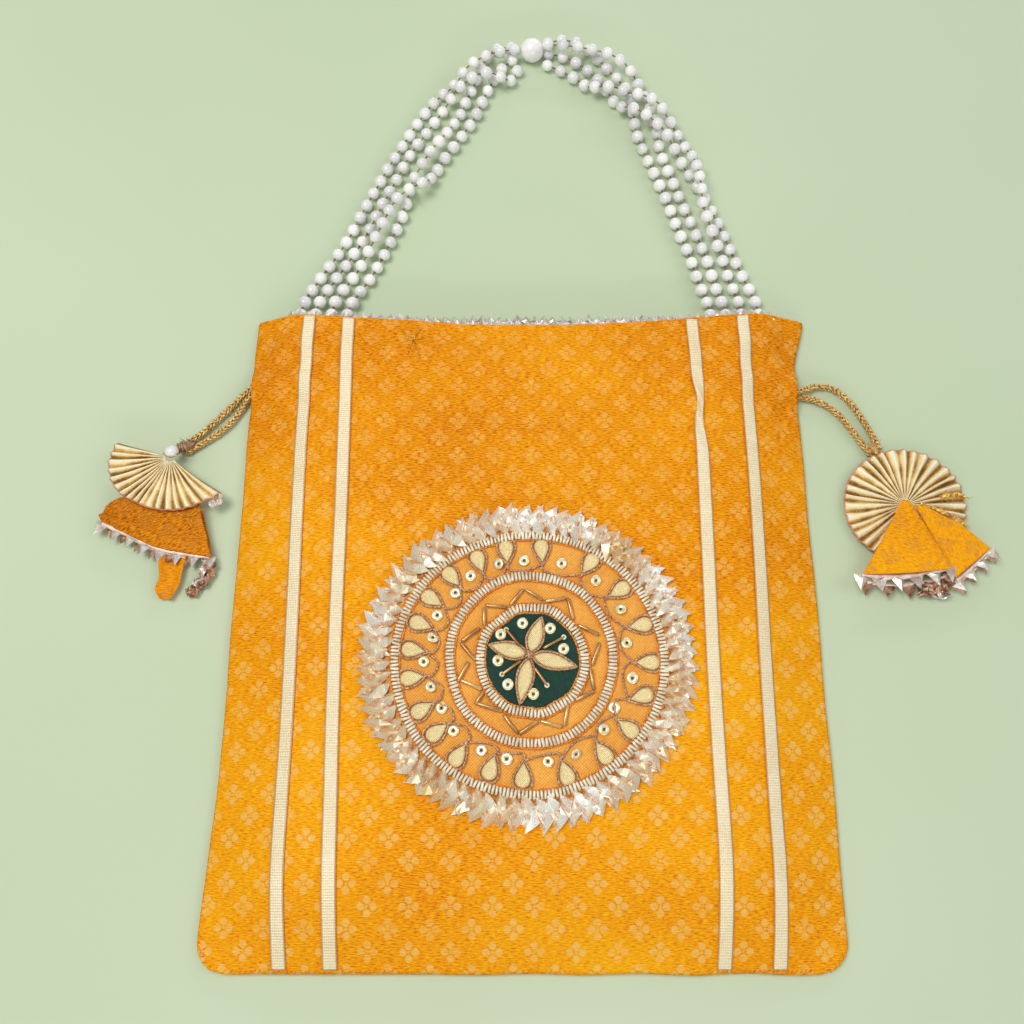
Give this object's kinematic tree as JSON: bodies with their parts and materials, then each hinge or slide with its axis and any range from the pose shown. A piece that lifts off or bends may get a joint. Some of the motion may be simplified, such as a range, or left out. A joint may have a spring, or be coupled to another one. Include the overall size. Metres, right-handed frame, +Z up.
{
  "type": "potli bag",
  "caption": "Flat drawstring potli pouch of gold-orange brocade with a beaded round medallion, ribbon stripes, a pearl-strand handle and pleated tassels on its two pull cords.",
  "frame": {"origin": "centre of the footprint of the bag's body, on the surface that it lies on", "axes": "+Z up out of the front face, +Y from the bottom seam to the mouth, +X to the right"},
  "size_m": [0.3285, 0.3739, 0.0179],
  "materials": {
    "brocade": "satin",
    "lining": "matte",
    "ribbon": "satin",
    "patch_cloth": "matte",
    "green_cloth": "matte",
    "silver_trim": "metallic",
    "bead_metal": "metallic",
    "gilt_cloth": "metallic",
    "braid": "satin",
    "pearl": "pearl"
  },
  "bodies": {
    "root": {"front_panel": "brocade", "back_panel": "brocade", "front_lining": "lining", "back_lining": "lining", "mouth_lace_front": "silver_trim", "mouth_lace_back": "silver_trim", "ribbon_left_outer": "ribbon", "ribbon_left_inner": "ribbon", "ribbon_right_inner": "ribbon", "ribbon_right_outer": "ribbon", "medallion_cloth": "patch_cloth", "petal_border": "silver_trim", "bead_ring_outer": "bead_metal", "bead_ring_middle": "bead_metal", "bead_ring_inner": "bead_metal", "green_centre": "green_cloth", "bugle_star": "bead_metal", "flower_petal_1": "gilt_cloth", "flower_petal_2": "gilt_cloth", "flower_petal_3": "gilt_cloth", "flower_petal_4": "gilt_cloth", "teardrop_01": "gilt_cloth", "teardrop_02": "gilt_cloth", "teardrop_03": "gilt_cloth", "teardrop_04": "gilt_cloth", "teardrop_05": "gilt_cloth", "teardrop_06": "gilt_cloth", "teardrop_07": "gilt_cloth", "teardrop_08": "gilt_cloth", "teardrop_09": "gilt_cloth", "teardrop_10": "gilt_cloth", "teardrop_11": "gilt_cloth", "teardrop_12": "gilt_cloth", "teardrop_13": "gilt_cloth", "teardrop_14": "gilt_cloth", "teardrop_15": "gilt_cloth", "teardrop_16": "gilt_cloth", "teardrop_17": "gilt_cloth", "teardrop_18": "gilt_cloth", "teardrop_19": "gilt_cloth", "teardrop_20": "gilt_cloth", "teardrop_21": "gilt_cloth", "drawstring_left": "braid", "drawstring_right": "braid", "handle_strand_left_a": "pearl", "handle_strand_left_b": "pearl", "handle_strand_left_c": "pearl", "handle_strand_left_d": "pearl", "handle_strand_right_a": "pearl", "handle_strand_right_b": "pearl", "handle_strand_right_c": "pearl", "handle_strand_right_d": "pearl", "large_pearl": "pearl", "left_tassel_pearl": "pearl", "left_fan": "gilt_cloth", "left_skirt": "brocade", "left_curl": "brocade", "right_rosette": "gilt_cloth", "right_skirt_front": "brocade", "right_skirt_back": "brocade"}
  },
  "joints": []
}
